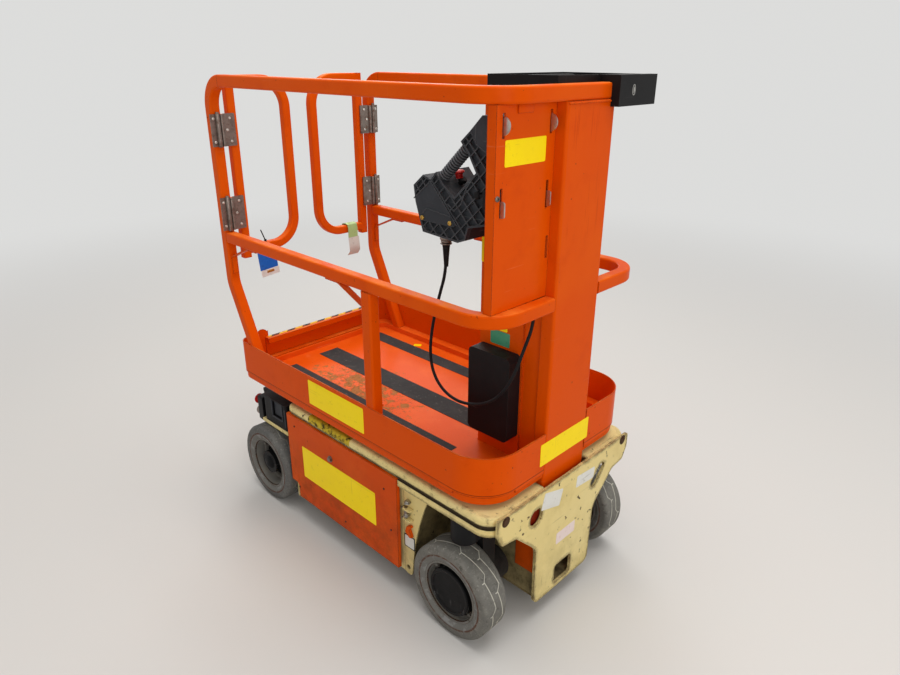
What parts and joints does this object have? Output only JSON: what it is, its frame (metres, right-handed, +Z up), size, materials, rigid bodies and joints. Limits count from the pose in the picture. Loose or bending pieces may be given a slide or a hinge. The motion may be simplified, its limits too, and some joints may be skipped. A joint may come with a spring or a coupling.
{
  "type": "vertical mast lift",
  "caption": "Self-propelled vertical mast work platform with steered front wheels, nested telescoping mast, railed basket, saloon gates and side doors.",
  "frame": {"origin": "on the floor under the middle of the machine, platform stowed", "axes": "+X towards the mast and the steered wheels, +Y to the left-hand side, +Z up"},
  "size_m": [1.372, 0.76, 1.668],
  "materials": {
    "tyre_rubber": "worn grey solid rubber",
    "rim_paint": "grey paint with rust",
    "hub_paint": "satin black",
    "black_steel": "satin black",
    "battery_case": "matte",
    "black_plastic": "grained moulding",
    "cord_rubber": "matte",
    "bare_steel": "dull zinc",
    "red_plastic": "gloss",
    "cream_paint": "chipped semi-gloss",
    "orange_paint": "worn semi-gloss"
  },
  "bodies": {
    "chassis": {"chassis_top": "cream_paint", "chassis_rails": "cream_paint", "battery_trays": "cream_paint", "mast_well": "cream_paint", "kingpin_beams": "cream_paint", "end_plate": "cream_paint", "rear_plate": "cream_paint", "arch_panels": "cream_paint", "battery_pack": "battery_case", "power_unit": "battery_case", "control_shelf": "cream_paint", "ground_control_box": "black_plastic", "ground_controls": "red_plastic", "rear_axle": "black_steel", "door_brackets": "cream_paint", "door_latches": "bare_steel", "release_lever": "orange_paint", "mast_base": "orange_paint"},
    "knuckle_left": {"knuckle_left": "black_steel"},
    "knuckle_right": {"knuckle_right": "black_steel"},
    "door_left": {"door_left": "orange_paint"},
    "door_right": {"door_right": "orange_paint"},
    "mast_lower": {"mast_lower": "orange_paint"},
    "mast_upper": {"mast_upper": "orange_paint"},
    "gate_left": {"gate_left": "orange_paint"},
    "gate_right": {"gate_right": "orange_paint"},
    "wheel_front_left": {"tyre_front_left": "tyre_rubber", "rim_front_left": "rim_paint", "hub_front_left": "hub_paint"},
    "wheel_front_right": {"tyre_front_right": "tyre_rubber", "rim_front_right": "rim_paint", "hub_front_right": "hub_paint"},
    "wheel_rear_left": {"tyre_rear_left": "tyre_rubber", "rim_rear_left": "rim_paint", "hub_rear_left": "hub_paint"},
    "wheel_rear_right": {"tyre_rear_right": "tyre_rubber", "rim_rear_right": "rim_paint", "hub_rear_right": "hub_paint"},
    "platform": {"controller": "black_plastic", "controller_cord": "cord_rubber", "controller_shell": "black_plastic", "controller_stop": "red_plastic", "cord_gland": "bare_steel", "cord_plug": "bare_steel", "deck_floor": "orange_paint", "deck_frame": "orange_paint", "end_panel": "orange_paint", "entry_post_left": "orange_paint", "entry_post_right": "orange_paint", "kick_plate": "orange_paint", "manual_box": "black_plastic", "mast_cover": "orange_paint", "mid_posts": "orange_paint", "mid_rail_left": "orange_paint", "mid_rail_right": "orange_paint", "post_hinges": "bare_steel", "rail_braces": "orange_paint", "toe_board": "orange_paint", "tool_tray": "black_plastic", "top_rail": "orange_paint"}
  },
  "joints": [
    {"name": "steer_left", "type": "hinge", "parent": "chassis", "child": "knuckle_left", "pos_m": [0.52, 0.305, 0.38], "axis": [0, 0, 1], "range_deg": [-90, 90]},
    {"name": "steer_right", "type": "hinge", "parent": "chassis", "child": "knuckle_right", "pos_m": [0.52, -0.305, 0.38], "axis": [0, 0, 1], "range_deg": [-90, 90]},
    {"name": "spin_front_left", "type": "hinge", "parent": "knuckle_left", "child": "wheel_front_left", "pos_m": [0.52, 0.33, 0.1615], "axis": [0, 1, 0], "continuous": true},
    {"name": "spin_front_right", "type": "hinge", "parent": "knuckle_right", "child": "wheel_front_right", "pos_m": [0.52, -0.33, 0.1615], "axis": [0, 1, 0], "continuous": true},
    {"name": "spin_rear_left", "type": "hinge", "parent": "chassis", "child": "wheel_rear_left", "pos_m": [-0.52, 0.33, 0.1615], "axis": [0, 1, 0], "continuous": true},
    {"name": "spin_rear_right", "type": "hinge", "parent": "chassis", "child": "wheel_rear_right", "pos_m": [-0.52, -0.33, 0.1615], "axis": [0, 1, 0], "continuous": true},
    {"name": "door_left_swing", "type": "hinge", "parent": "chassis", "child": "door_left", "pos_m": [-0.338, 0.361, 0.28], "axis": [0, 0, 1], "range_deg": [0, 90]},
    {"name": "door_right_swing", "type": "hinge", "parent": "chassis", "child": "door_right", "pos_m": [-0.338, -0.361, 0.28], "axis": [0, 0, -1], "range_deg": [0, 90]},
    {"name": "mast_lower_slide", "type": "slide", "parent": "chassis", "child": "mast_lower", "axis": [0, 0, 1], "range_m": [0, 1.03]},
    {"name": "mast_upper_slide", "type": "slide", "parent": "mast_lower", "child": "mast_upper", "axis": [0, 0, 1], "range_m": [0, 1.03]},
    {"name": "platform_slide", "type": "slide", "parent": "mast_upper", "child": "platform", "axis": [0, 0, 1], "range_m": [0, 1.03]},
    {"name": "gate_left_swing", "type": "hinge", "parent": "platform", "child": "gate_left", "pos_m": [-0.6377, 0.3347, 1.3], "axis": [0, 0, 1], "range_deg": [0, 90], "stiffness_Nm_per_rad": 2},
    {"name": "gate_right_swing", "type": "hinge", "parent": "platform", "child": "gate_right", "pos_m": [-0.6377, -0.3347, 1.3], "axis": [0, 0, -1], "range_deg": [0, 90], "stiffness_Nm_per_rad": 2}
  ],
  "couplings": [
    {"joint": "steer_right", "follows": "steer_left", "ratio": 1},
    {"joint": "mast_upper_slide", "follows": "mast_lower_slide", "ratio": 1},
    {"joint": "platform_slide", "follows": "mast_lower_slide", "ratio": 1}
  ]
}
